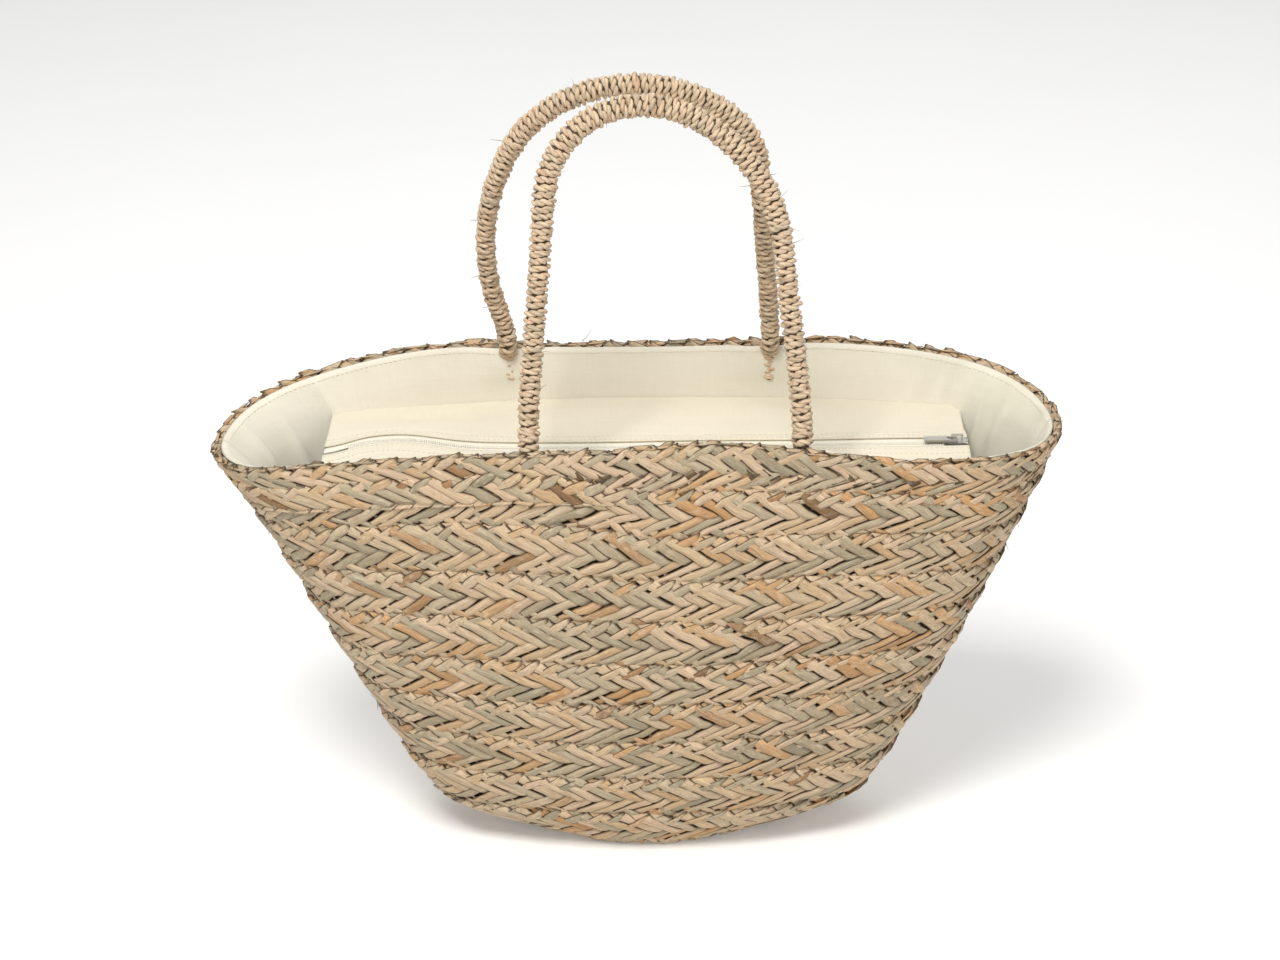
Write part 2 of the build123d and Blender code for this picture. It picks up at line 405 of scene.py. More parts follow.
seagrass = {
    "tones": [
        (0.00, (0.44, 0.375, 0.245)), (0.16, (0.53, 0.445, 0.30)), (0.36, (0.60, 0.47, 0.31)),
        (0.54, (0.61, 0.445, 0.30)), (0.72, (0.53, 0.39, 0.24)), (0.86, (0.45, 0.305, 0.17)),
        (0.95, (0.45, 0.25, 0.105)), (1.00, (0.14, 0.075, 0.035)),
    ],
    "cordTones": [
        (0.00, (0.34, 0.26, 0.165)), (0.25, (0.54, 0.43, 0.295)), (0.50, (0.65, 0.505, 0.35)),
        (0.75, (0.62, 0.44, 0.29)), (1.00, (0.42, 0.25, 0.13)),
    ],
}


def seagrassMaterial(name, uvName, strandName, stretch, tones):
    def build(g):
        strand = g.node("ShaderNodeAttribute", {"attribute_name": strandName})["Fac"]
        uv = g.node("ShaderNodeAttribute", {"attribute_name": uvName})["Vector"]
        x, y, _ = g.split(uv)
        dice = g.node("ShaderNodeTexWhiteNoise", {"noise_dimensions": "1D"}, {"W": strand})
        pick, colour = dice["Value"], dice["Color"]
        r, gg, b = g.split(colour)
        base = g.node("ShaderNodeValToRGB", {"stops": tones}, {"Fac": pick})["Color"]
        fibreAt = g.combine(x * stretch[0] + strand * 3.7, y * stretch[1], strand * 1.31)
        fibre = g.mottle(fibreAt, 1.0, 4.0, 0.6)
        fineAt = g.combine(x * stretch[0] * 0.7 + strand * 2.3, y * stretch[1] * 2.6, strand * 0.9)
        fine = g.mottle(fineAt, 1.0, 2.0)
        blotAt = g.combine(x * stretch[0] * 2.0 + strand * 5.1, y * 2.2, strand * 0.77)
        blot = g.mottle(blotAt, 1.0, 3.0)
        light = 0.12 + fibre * 0.94 + fine * 0.70
        shade = light * (0.68 + r * 0.56)
        toned = g.mix(1.0, base, g.combine(shade, shade, shade), "MULTIPLY")
        warm = g.between(blot, 0.54, 0.78, 0.0, 0.6)
        toned = g.mix(warm * gg, toned, (0.36, 0.20, 0.10))
        pale = g.between(blot, 0.28, 0.46, 0.5, 0.0)
        toned = g.mix(pale * b, toned, (0.70, 0.58, 0.42))
        place = g.node("ShaderNodeTexCoord")["Object"]
        specks = g.node("ShaderNodeTexVoronoi", None, {"Vector": place, "Scale": 210.0})["Distance"]
        speck = g.between(specks, 0.06, 0.13, 0.8, 0.0)
        rare = g.between(gg, 0.66, 0.72, 0.0, 1.0)
        toned = g.mix(speck * rare, toned, (0.13, 0.07, 0.035))
        # painted shade: leaf edges and tips are darkened towards near black where they run under the
        # neighbouring strands, standing in for the shadow in the gaps
        edgeShadeMask = g.between((y - 0.5).maths("ABSOLUTE"), 0.36, 0.47, 0.0, 0.97)
        tipShadeMask = g.between(x, 0.95, 1.06, 0.0, 0.85)
        paintedGapShade = g.node("ShaderNodeMath", {"operation": "MAXIMUM"}, {0: edgeShadeMask, 1: tipShadeMask})[0]
        toned = g.mix(paintedGapShade, toned, (0.060, 0.034, 0.016))
        height = fibre * 0.7 + blot * 0.3
        bump = g.node("ShaderNodeBump", None, {"Strength": 0.7, "Distance": 0.0008, "Height": height})[0]
        rough = 0.55 + fibre * 0.25
        return {"Base Color": toned, "Roughness": rough, "Normal": bump, "Specular IOR Level": 0.35}
    return newMaterial(name, build)


plait = {
    "width": 0.0352, "pitch": 0.0135, "upSlope": radians(34), "lowSlope": radians(28), "zig": 0.002,
    "overlap": 1.05, "lean": 0.0018, "depth": -0.0006, "innerDepth": -0.0016, "loose": 1.0,
}


def leafPatch(side, startL):
    # one visible strand from the plait's edge to its middle; returns points, faces, uv
    half = plait["width"] / 2
    slope = plait["upSlope"] if side > 0 else plait["lowSlope"]
    zig, wide = plait["zig"], plait["pitch"] * plait["overlap"]
    left0, right0 = (startL, half), (startL + wide, half)
    leftEnd = (startL + (half + zig) / tan(slope), -zig)
    rightEnd = (startL + wide + (half - zig) / tan(slope), zig)
    along = [-0.05, 0.0, 0.06, 0.2, 0.45, 0.7, 0.88, 0.97, 1.04, 1.12]
    rise = [-2.4, -1.3, 0.1, 0.7, 1.0, 1.05, 0.95, 0.6, -0.4, -1.6]
    ring = [(0.0, -0.55), (0.12, 0.48), (0.48, 1.0), (0.86, 0.35), (1.0, -0.85), (0.9, -1.6), (0.08, -1.4)]
    points, uv, faces = [], [], []
    for t, up in zip(along, rise):
        # each row of points across the strand
        lx = left0[0] + (leftEnd[0] - left0[0]) * t
        lv = left0[1] + (leftEnd[1] - left0[1]) * t
        rx = right0[0] + (rightEnd[0] - right0[0]) * t
        rv = right0[1] + (rightEnd[1] - right0[1]) * t
        for s, c in ring:
            points.append((lx + (rx - lx) * s, (lv + (rv - lv) * s) * side, (up + c) * mm))
            uv.append((t, s))
    closeRings(len(ring), len(along), faces, side < 0)
    return points, faces, uv


def closeRings(count, rings, faces, flip):
    # joins rings of points into a closed skin with a cap at each end
    for i in range(rings - 1):
        for j in range(count):
            a, b = i * count + j, i * count + (j + 1) % count
            quad = (a, b, b + count, a + count)
            faces.append(quad if flip else quad[::-1])
    first = tuple(range(count))
    last = tuple(range((rings - 1) * count, rings * count))
    faces.append(first[::-1] if flip else first)
    faces.append(last if flip else last[::-1])


def foldPatch(side, startL):
    # the short turned-over bit at the edge, leaning the other way from the strand it starts
    half = plait["width"] / 2
    a = np.array((startL - 0.0078, half - 0.0104))
    b = np.array((startL + 0.0092, half + 0.0006))
    d = (b - a) / np.linalg.norm(b - a)
    n = np.array((-d[1], d[0]))
    points, uv, faces = [], [], []
    along = [-0.1, 0.15, 0.5, 0.85, 1.1]
    rise = [-1.0, 0.95, 1.55, 1.0, -1.8]
    wide = [0.0006, 0.0024, 0.0034, 0.0028, 0.0007]
    ring = [(-1.0, -0.25), (-0.4, 0.35), (0.4, 0.35), (1.0, -0.25), (0.6, -1.0), (-0.6, -1.0)]
    for t, up, w in zip(along, rise, wide):
        for s, c in ring:
            p = a + (b - a) * t + n * w * s
            points.append((p[0], p[1] * side, (up + c) * mm))
            uv.append((t, (s + 1) / 2))
    closeRings(len(ring), len(along), faces, side > 0)
    return points, faces, uv


def makeUnit():
    # what repeats along the plait: an upper strand, a lower strand and their folds
    points, faces, uv, part = [], [], [], []
    pieces = (leafPatch(1, 0), leafPatch(-1, 0), foldPatch(1, 0.0008), foldPatch(-1, 0.0008))
    for number, (p, f, m) in enumerate(pieces):
        start = len(points)
        points += p
        faces += [tuple(i + start for i in face) for face in f]
        uv += m
        part += [float(number)] * len(p)
    lengthwise, across = np.array(uv).T
    unit = meshObject("plaitUnit", points, faces, uv=uv,
                      attributes={"part": part, "across": across, "lengthwise": lengthwise})
    return unit


def makePlaitTree(unit, skinMap):
    tree, g, entry, leave = newTree("plaitOnSkin", (
        ("Units", "NodeSocketInt"), ("Turn Length", "NodeSocketFloat"), ("Row", "NodeSocketFloat"),
        ("Course Pitch", "NodeSocketFloat"), ("Lean", "NodeSocketFloat"), ("Depth", "NodeSocketFloat"),
        ("Side", "NodeSocketFloat"), ("Loose", "NodeSocketFloat"), ("Seed", "NodeSocketFloat"),
        ("Rise", "NodeSocketFloat"), ("Widen", "NodeSocketFloat"), ("Material", "NodeSocketMaterial")))
    units, turn, row = entry["Units"], entry["Turn Length"], entry["Row"]
    pitch, lean, depth = entry["Course Pitch"], entry["Lean"], entry["Depth"]
    side, loose, seed = entry["Side"], entry["Loose"], entry["Seed"]
    index = g.node("GeometryNodeInputIndex")[0]
    cell = turn / units
    spots = g.node("GeometryNodePoints", None, {"Count": units, "Position": g.combine(index * cell)})[0]
    single = g.node("GeometryNodeObjectInfo", None, {"Object": unit})["Geometry"]
    stretch = g.combine(cell / plait["pitch"], 1.0, 1.0)
    placed = g.node("GeometryNodeInstanceOnPoints", None,
                    {"Points": spots, "Instance": single, "Scale": stretch})[0]
    placed = g.store(placed, "cell", index * 1.0, "INSTANCE")
    whole = g.node("GeometryNodeRealizeInstances", None, {"Geometry": placed})[0]
    whole = g.store(whole, "strand", g.named("cell") * 4.0 + g.named("part") + seed * 977.0)
    x, y, z = g.split(g.node("GeometryNodeInputPosition")[0])
    dice = g.node("ShaderNodeTexWhiteNoise", {"noise_dimensions": "1D"}, {"W": g.named("strand")})["Color"]
    dx, dy, dz = g.split(dice)
    around = x / turn * (2 * pi)
    ring = turn * (60.0 / (2 * pi))
    waveAt = g.combine(around.maths("COSINE") * ring, around.maths("SINE") * ring, y * 60.0 + seed * 3.3)
    wave = g.node("ShaderNodeTexNoise", None, {"Vector": waveAt, "Scale": 1.0, "Detail": 2.0})["Color"]
    wx, wy, wz = g.split(wave)
    folds = g.node("ShaderNodeMath", {"operation": "GREATER_THAN"}, {0: g.named("part"), 1: 1.5})[0]
    free = loose * (1.0 + folds * 0.9)
    l2 = x + (dx - 0.5) * 0.0018 * free + (wx - 0.5) * 0.008 * loose
    v2 = y + (dy - 0.5) * 0.0016 * free + (wy - 0.5) * 0.007 * loose
    again = g.node("ShaderNodeTexWhiteNoise", {"noise_dimensions": "1D"},
                   {"W": g.named("strand") + 0.5})["Color"]
    tilt, twist, _ = g.split(again)
    lying = (g.named("across") - 0.5) * (
        (tilt - 0.5) * 0.0016 + (g.named("lengthwise") - 0.5) * (twist - 0.5) * 0.0024)
    z2 = z + lying + ((dz - 0.5) * 0.0010 + (wz - 0.5) * 0.0024) * loose
    share = l2 / turn
    share = share - share.maths("FLOOR")
    smooth = {"interpolation_type": "SMOOTHSTEP"}
    spread = spiral["spread"]
    rise = g.node("ShaderNodeMapRange", smooth,
                  {0: share, 1: spiral["mergeAt"] - spread, 2: spiral["mergeAt"] + spread, 3: 1.0, 4: 0.0})[0]
    fade = g.node("ShaderNodeMapRange", smooth, {0: share, 1: 0.0, 2: spiral["fade"], 3: 0.0, 4: 1.0})[0]
    climb = rise * fade
    course = row + v2 / pitch * (1.0 + entry["Widen"] * climb) + entry["Rise"] * climb
    height = depth + side * z2 + lean * v2 / (plait["width"] / 2)
    uvAt = g.combine(share, (course + 2.5) / 14.0)
    surface = g.node("GeometryNodeObjectInfo", None, {"Object": skinMap})["Geometry"]
    skinUv = g.named("UVMap", "FLOAT_VECTOR")

    def sample(value):
        return g.node("GeometryNodeSampleUVSurface", {"data_type": "FLOAT_VECTOR"},
                      {"Mesh": surface, "Value": value, "UV Map": skinUv, "Sample UV": uvAt})[0]

    place = sample(g.node("GeometryNodeInputPosition")[0])
    outward = sample(g.named("outward", "FLOAT_VECTOR"))
    place = g.vector("ADD", place, g.scaled(outward, height))
    laid = g.node("GeometryNodeSetPosition", None, {"Geometry": whole, "Position": place})[0]
    inner = g.node("FunctionNodeCompare", {"data_type": "FLOAT", "operation": "LESS_THAN"},
                   {0: side, 1: 0.0})[0]
    laid = g.node("GeometryNodeFlipFaces", None, {"Mesh": laid, "Selection": inner})[0]
    finishTree(g, leave, laid, entry["Material"], entry["Geometry"])
    return tree


def bandMesh(row, turns=160):
    # the underside of a course: a closed ring just behind the strands, coloured near black as painted shade
    # for the shadowed under-layers seen through the gaps
    us = np.linspace(0, 1, turns, endpoint=False)
    top = 0.43 if row == 9 else 0.52
    ring = [(-0.53, -0.0046), (top, -0.0032), (top, -0.0016), (0.0, -0.0018), (-0.53, -0.0036)]
    layers = []
    for v, n in ring:
        place, out = skin(us, row + 0.5 + v * (1 + rowShift(us, row, "widen")) + rowShift(us, row))
        layers.append(place + out * n)
    count = len(ring)
    points = np.stack(layers, 1).reshape(-1, 3)
    faces = []
    for i in range(turns):
        k = (i + 1) % turns
        for j in range(count):
            m = (j + 1) % count
            faces.append((i * count + j, k * count + j, k * count + m, i * count + m))
    return points, faces


def weaveBody():
    unit = makeUnit()
    skinMap = makeSkinMap()
    tree = makePlaitTree(unit, skinMap)
    pieces = {}
    pitch = body["height"] / body["courses"]
    rows = [(f"plaitCourse{row + 1:02d}", row, f"braid_course_{row + 1:02d}")
            for row in range(body["courses"])]
    rows += [("plaitBase", -1, "base_braid")]
    for name, row, node in rows:
        if row >= 0:
            points, faces = bandMesh(row)
            centre = body["height"] * (row + 0.5) / body["courses"]
            around = ovalLength(*bodyHalf(centre))
            middle = row + (0.5 if row < 9 else 0.45)
            laps = [(middle, around, pitch, 1.0, plait["depth"], plait["lean"], 0)]
            if row == 9:
                laps.append((middle, around, pitch, -1.0, plait["innerDepth"], 0.0, 40))
        else:
            points, faces = bandMesh(-1, 96)
            laps = []
            for ring in (0, 1):
                inward = (ring + 0.5) * baseRings["step"]
                length, depth, radius = bodyHalf(0.0)
                around = ovalLength(length - inward, depth - inward, (depth - inward) * radius / depth)
                laps.append((-0.5 - ring, around, baseRings["step"], 1.0, -0.0026, 0.0008, 50 + ring))
        host = meshObject(name + "Back", points, faces, finish["seagrassShadeBacking"])
        for centreRow, around, stepWidth, side, depth, lean, seed in laps:
            values = {
                "Units": int(round(around / plait["pitch"])), "Turn Length": float(around),
                "Row": float(centreRow),
                "Course Pitch": float(stepWidth), "Lean": lean, "Depth": depth, "Side": side,
                "Loose": plait["loose"], "Seed": float(row + 1 + seed), "Rise": spiral["rise"].get(row, 0.0),
                "Widen": spiral["widen"].get(row, 0.0),
                "Material": finish["seagrass"],
            }
            made = runTree(host, tree, values, name)
            hidden(host)
            host = made
        host.name = name
        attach(host, "root")
        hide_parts(node)
        pieces[name] = host
        print("woven", name, len(host.data.polygons))
    hidden(unit)
    hidden(skinMap)
    return pieces


# loose ends

fray = {
    "onBody": 150, "onHandle": 26, "long": (0.006, 0.017), "wide": (0.0004, 0.0011), "lift": 0.0035,
}


def blade(points, faces, values, start, heading, out, long, wide, lift, mark):
    # a thin torn blade that leaves the surface at start and curls away from it
    side = np.cross(out, heading)
    begin = len(points)
    steps = 5
    for k in range(steps + 1):
        t = k / steps
        middle = (start + heading * long * t + out * (lift * t * t - 0.0004)
                  + side * wide * 1.5 * np.sin(t * 2.4))
        half = wide * (1 - 0.85 * t) * 0.5
        for offset in (-1, 1):
            points.append(middle + side * half * offset + out * 0.00012)
            points.append(middle + side * half * offset - out * 0.00012)
            values.append((t, (offset + 1) / 2, mark))
            values.append((t, (offset + 1) / 2, mark))
    for k in range(steps):
        a = begin + k * 4
        for p, q in ((0, 2), (2, 3), (3, 1), (1, 0)):
            faces.append((a + p, a + q, a + 4 + q, a + 4 + p))
    faces.append((begin + 2, begin, begin + 1, begin + 3))
    last = begin + steps * 4
    faces.append((last, last + 2, last + 3, last + 1))


def makeLooseEnds():
    points, faces, values = [], [], []
    for number in range(fray["onBody"]):
        u = rng.uniform(0, 1)
        edge = rng.integers(1, 11)
        c = edge + rng.normal(0, 0.06) if rng.uniform() < 0.75 else rng.uniform(0.3, 9.9)
        place, out = skin(np.array([u]), np.array([min(c, 10.05)]))
        ahead, _ = skin(np.array([u + 0.002]), np.array([min(c, 10.05)]))
        along = (ahead - place)[0]
        along /= np.linalg.norm(along)
        up = np.cross(out[0], along)
        angle = rng.choice([0.6, -0.6, 2.5, -2.5]) + rng.normal(0, 0.35)
        heading = along * np.cos(angle) + up * np.sin(angle)
        blade(points, faces, values, place[0] + out[0] * 0.0012, heading, out[0], rng.uniform(*fray["long"]),
              rng.uniform(*fray["wide"]), rng.uniform(0.2, 1.0) * fray["lift"], float(number) + 0.37)
    values = np.array(values)
    piece = meshObject("looseEnds", points, faces, finish["seagrass"], uv=values[:, :2],
                       attributes={"strand": values[:, 2]})
    fixNormals(piece)
    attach(piece, "root")
    print("loose ends", len(faces))


# handles

handle = {
    "hinge": 0.340, "footDepth": 0.071747, "lean": radians(15.5), "tailBottom": 0.297,
    "front": {"foot": -0.075, "heading": 84.8, "straight": 0.141, "lead": None,
              "bends": ((0.061, 74), (0.071, 39), (0.105, 55.5))},
    "rear": {"foot": -0.094, "heading": 110.0, "straight": 0.0, "lead": (0.190, 44),
             "bends": ((0.093, 54.5), (0.090, 53), (0.065, 44.5))},
    "coreRadius": 0.0058, "wrapRadius": 0.0063, "turnPitch": 0.0047,
    "plyRadius": 0.00145, "plyOffset": 0.00110, "twistPitch": 0.0125,
    "legSlim": {"front": 0.86, "rear": 0.79}, "topSlim": {"front": 1.0, "rear": 0.93}, "tailSlim": 0.52,
    "tailOut": 0.0085, "bendFrom": 0.331, "bendOver": 0.015, "slimFrom": 0.322, "slimOver": 0.010,
    "blendLow": 0.322, "blendHigh": 0.366,
}


def archPoints(side):
    # the handle's middle line in its own plane, from one foot to the other
    part = handle[side]
    x, h, heading = part["foot"], 0.0, radians(part["heading"])
    points = [(x, h)]

    def straight(distance):
        nonlocal x, h
        steps = max(2, int(distance / 0.004))
        for k in range(1, steps + 1):
            points.append((x + cos(heading) * distance * k / steps, h + sin(heading) * distance * k / steps))
        x, h = points[-1]

    if part["straight"]:
        straight(part["straight"])
    bends = ([part["lead"]] if part["lead"] else []) + list(part["bends"])
    for radius, angle in bends:
        steps = int(radians(angle) * radius / 0.004)
        for _ in range(steps):
            turn = radians(angle) / steps
            chord = 2 * radius * sin(turn / 2)
            heading -= turn / 2
            x, h = x + cos(heading) * chord, h + sin(heading) * chord
            heading -= turn / 2
            points.append((x, h))
    straight(h / -sin(heading))
    return points


def handleLine(side):
    sign = -1 if side == "front" else 1
    flat = archPoints(side)
    rise, lean = handle["hinge"], handle["lean"]
    line = [(x, sign * (handle["footDepth"] - h * sin(lean)), rise + h * cos(lean)) for x, h in flat]
    tailSteps = 12
    drop = rise - handle["tailBottom"]
    first = [(line[0][0], line[0][1], handle["tailBottom"] + drop * k / tailSteps) for k in range(tailSteps)]
    last = [(line[-1][0], line[-1][1], rise - drop * (k + 1) / tailSteps) for k in range(tailSteps)]
    line = np.array(first + line + last)
    for _ in range(10):
        near = (np.abs(line[1:-1, 2] - rise) < 0.024)[:, None]
        line[1:-1] = np.where(near, (line[:-2] + line[1:-1] * 2 + line[2:]) / 4, line[1:-1])
    line[:, 1] += sign * handle["tailOut"] * easeStep((handle["bendFrom"] - line[:, 2]) / handle["bendOver"])
    return line


def handleSlim(side, line):
    # legs are thinner than the crown, and the tails are pressed flat behind the lining
    crown = easeStep((line[:, 2] - 0.42) / 0.08)
    slim = handle["legSlim"][side] + (handle["topSlim"][side] - handle["legSlim"][side]) * crown
    tail = easeStep((handle["slimFrom"] - line[:, 2]) / handle["slimOver"])
    return slim + (handle["tailSlim"] - slim) * tail


def lineObject(name, points, slim=None):
    mesh = bpy.data.meshes.new(name)
    mesh.from_pydata([tuple(p) for p in points], [(i, i + 1) for i in range(len(points) - 1)], [])
    if slim is not None:
        mesh.attributes.new("slim", "FLOAT", "POINT").data.foreach_set("value", slim)
    made = bpy.data.objects.new(name, mesh)
    bpy.context.scene.collection.objects.link(made)
    return made


def makeWrapTree():
    tree, g, entry, leave = newTree("cordWrap", (
        ("Core Radius", "NodeSocketFloat"), ("Wrap Radius", "NodeSocketFloat"), ("Turn Pitch",
                                                                                 "NodeSocketFloat"),
        ("Ply Radius", "NodeSocketFloat"), ("Ply Offset", "NodeSocketFloat"), ("Twist Pitch",
                                                                               "NodeSocketFloat"),
        ("Unevenness", "NodeSocketFloat"), ("Seed", "NodeSocketFloat"),
        ("Material", "NodeSocketMaterial"), ("Core Material", "NodeSocketMaterial")))
    path = g.node("GeometryNodeMeshToCurve", None, {"Mesh": entry["Geometry"]})[0]

    def resampled(curve, step):
        return g.node("GeometryNodeResampleCurve", {"mode": "LENGTH"}, {"Curve": curve, "Length": step})[0]

    def wound(curve, radius, angle):
        normal = g.node("GeometryNodeInputNormal")[0]
        tangent = g.node("GeometryNodeInputTangent")[0]
        across = g.vector("CROSS_PRODUCT", tangent, normal)
        offset = g.vector("ADD", g.scaled(normal, angle.maths("COSINE") * radius),
                          g.scaled(across, angle.maths("SINE") * radius))
        return g.node("GeometryNodeSetPosition", None, {"Geometry": curve, "Offset": offset})[0]

    def along():
        return g.node("GeometryNodeSplineParameter")["Length"]

    def noiseAt(length, scale, offset):
        return g.node("ShaderNodeTexNoise", {"noise_dimensions": "1D"},
                      {"W": length * scale + entry["Seed"] + offset, "Scale": 1.0, "Detail": 1.0})[0] - 0.5

    fine = resampled(path, 0.0008)
    turns = along() / entry["Turn Pitch"]
    bob = noiseAt(along(), 160.0, 5.0) * entry["Unevenness"]
    helix = wound(fine, entry["Wrap Radius"] * g.named("slim") + bob * 0.0022,
                  (turns + bob * 0.55) * (2 * pi))
    helix = resampled(helix, 0.00125)
    circle = g.node("GeometryNodeCurvePrimitiveCircle", None,
                    {"Resolution": 6, "Radius": entry["Ply Radius"]})[0]
    circle = g.store(circle, "around", g.node("GeometryNodeSplineParameter")["Factor"])
    plies = []
    for number in (0, 1):
        twist = along() / entry["Twist Pitch"] * (2 * pi) + number * pi + noiseAt(along(), 60.0, 9.0) * 3.2
        ply = g.store(helix, "along", along())
        ply = wound(ply, entry["Ply Offset"], twist)
        thick = 1.0 + noiseAt(along(), 110.0, 20.0 + number * 7.0) * 0.55
        tube = g.node("GeometryNodeCurveToMesh", None,
                      {"Curve": ply, "Profile Curve": circle, "Scale": thick, "Fill Caps": True})[0]
        plies.append(g.store(tube, "strand", entry["Seed"] + float(number)))
    both = g.node("GeometryNodeJoinGeometry")
    for ply in plies:
        g.tree.links.new(ply.socket, both.made.inputs[0])
    coarse = resampled(path, 0.004)
    ringCurve = g.node("GeometryNodeCurvePrimitiveCircle", None,
                       {"Resolution": 12, "Radius": entry["Core Radius"]})[0]
    core = g.node("GeometryNodeCurveToMesh", None,
                  {"Curve": coarse, "Profile Curve": ringCurve, "Scale": g.named("slim"),
                   "Fill Caps": True})[0]
    core = g.node("GeometryNodeSetMaterial", None, {"Geometry": core, "Material": entry["Core Material"]})[0]
    smooth = g.node("GeometryNodeSetShadeSmooth", None, {"Geometry": both[0], "Shade Smooth": True})[0]
    finishTree(g, leave, smooth, entry["Material"], core)
    return tree


def frayHandle(side, line):
    points, faces, values = [], [], []
    for number in range(fray["onHandle"]):
        at = rng.integers(16, len(line) - 16)
        tangent = line[at + 1] - line[at - 1]
        tangent /= np.linalg.norm(tangent)
        away = np.cross(tangent, rng.normal(0, 1, 3))
        away /= np.linalg.norm(away)
        round_ = np.cross(tangent, away)
        heading = round_ * 0.9 + tangent * rng.uniform(-0.6, 0.6)
        heading /= np.linalg.norm(heading)
        start = line[at] + away * (handle["wrapRadius"] * 0.9 + handle["plyOffset"])
        blade(points, faces, values, start, heading, away, rng.uniform(0.005, 0.012),
              rng.uniform(0.0003, 0.0007), rng.uniform(0.3, 1.0) * fray["lift"], float(number) + 0.21)
    values = np.array(values)
    piece = meshObject(side + "HandleFibres", points, faces, finish["seagrass"], uv=values[:, :2],
                       attributes={"strand": values[:, 2]})
    fixNormals(piece)
    return piece


def wrapHandles():
    tree = makeWrapTree()
    made = {}
    for side, seed in (("front", 3.0), ("rear", 61.0)):
        line = handleLine(side)
        host = lineObject("line", line, handleSlim(side, line))
        piece = runTree(host, tree, {
            "Core Radius": handle["coreRadius"], "Wrap Radius": handle["wrapRadius"],
            "Turn Pitch": handle["turnPitch"], "Ply Radius": handle["plyRadius"],
            "Ply Offset": handle["plyOffset"], "Twist Pitch": handle["twistPitch"], "Unevenness": 0.6,
            # the core gets the near-black painted shade backing, so the gaps between the wraps read as shadow
            "Seed": seed, "Material": finish["handleCord"], "Core Material": finish["seagrassShadeBacking"],
        }, side + "Handle")
        hidden(host)
        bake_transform(piece)
        nodes = [f"{side}_handle_core", f"{side}_handle_wrap"]
        for place in ("left", "right"):
            nodes += [f"{side}_{place}_handle_tail", f"{side}_{place}_handle_lashing"]
        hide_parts(*nodes)
        fibres = frayHandle(side, line)
        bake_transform(fibres)
        made[side] = piece
        print("wrapped", side, "handle", len(piece.data.polygons))
    return made


# cotton lining

lining = {
    "inset": 0.0072, "thickness": 0.0008, "hemDrop": 0.0008, "bottom": 0.009,
    "turnUp": 0.0092, "turnGap": 0.0022,
    "feet": {"front": (-0.075, 0.10047), "rear": (-0.094, 0.08587)},
    "bulge": 0.0040, "bulgeHalf": 0.028, "bulgeFrom": 0.290, "bulgeOver": 0.026,
    "hemIn": 0.0024, "endFolds": 0.0110, "endCreases": 0.0060,
    "endFrom": 0.150, "endOver": 0.09, "foldsFrom": 0.228, "foldsOver": 0.04,
}


def noiseGrid(points, scale, seed=0.0):
    flat = np.asarray(points, float).reshape(-1, 3)
    got = [noise.noise(Vector(p) * scale + Vector((seed, seed * 1.7, seed * 0.3))) for p in flat]
    return np.array(got).reshape(np.asarray(points).shape[:-1])


def shell(name, grid, out, thickness, material, uv=None):
    # a closed thin sheet: the grid is its middle, out points away from the side seen
    rows, columns = grid.shape[:2]
    thick = np.broadcast_to(np.asarray(thickness, float), (rows, columns))[..., None]
    front, back = grid - out * thick / 2, grid + out * thick / 2
    points = np.concatenate([front.reshape(-1, 3), back.reshape(-1, 3)])
    index = np.arange(rows * columns).reshape(rows, columns)
    n = rows * columns
    faces = []
    for i in range(rows - 1):
        for j in range(columns - 1):
            a, b, c, d = index[i, j], index[i, j + 1], index[i + 1, j + 1], index[i + 1, j]
            faces.append((a, d, c, b))
            faces.append((a + n, b + n, c + n, d + n))
    edge = ([index[0, j] for j in range(columns)] + [index[i, -1] for i in range(1, rows)]
            + [index[-1, j] for j in range(columns - 2, -1, -1)]
            + [index[i, 0] for i in range(rows - 2, 0, -1)])
    for a, b in zip(edge, edge[1:] + edge[:1]):
        faces.append((a, b, b + n, a + n))
    if uv is not None:
        uv = np.concatenate([uv.reshape(-1, 2)] * 2)
    return meshObject(name, points, faces, material, uv=uv)


def liningPoint(u, z, inset):
    # the inside of the wall at height z, moved in by inset
    c = z / (body["height"] / body["courses"])
    for _ in range(4):
        place, out = skin(u, c)
        c = c + (z - place[..., 2]) / (body["height"] / body["courses"])
    place, out = skin(u, c)
    return place - out * np.asarray(inset)[..., None], out


stitch = {"long": 0.0023, "thick": 0.00026, "pitch": 0.0034, "hemBelow": 0.0042, "flapRows": (0.0163, 0.0094)}


def makeStitch():
    # one sewn stitch: a short thread that dips at both ends
    points, faces = [], []
    for t, dip in ((-1.0, -0.9), (-0.7, 0.1), (0.0, 0.5), (0.7, 0.1), (1.0, -0.9)):
        for q in range(5):
            angle = 2 * pi * q / 5
            points.append((t * stitch["long"] / 2, cos(angle) * stitch["thick"],
                           (sin(angle) + dip) * stitch["thick"]))
    closeRings(5, 5, faces, True)
    unit = meshObject("stitch", points, faces)
    fixNormals(unit)
    return unit


def sewRow(line, name, rides):
    host = lineObject("line", line)
    piece = runTree(host, stitchTree, {"Pitch": stitch["pitch"], "Side": 1.0, "Seed": 5, "Jitter": 0.25,
                                       "Material": finish["thread"]}, name)
    hidden(host)
    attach(piece, rides)
    return piece


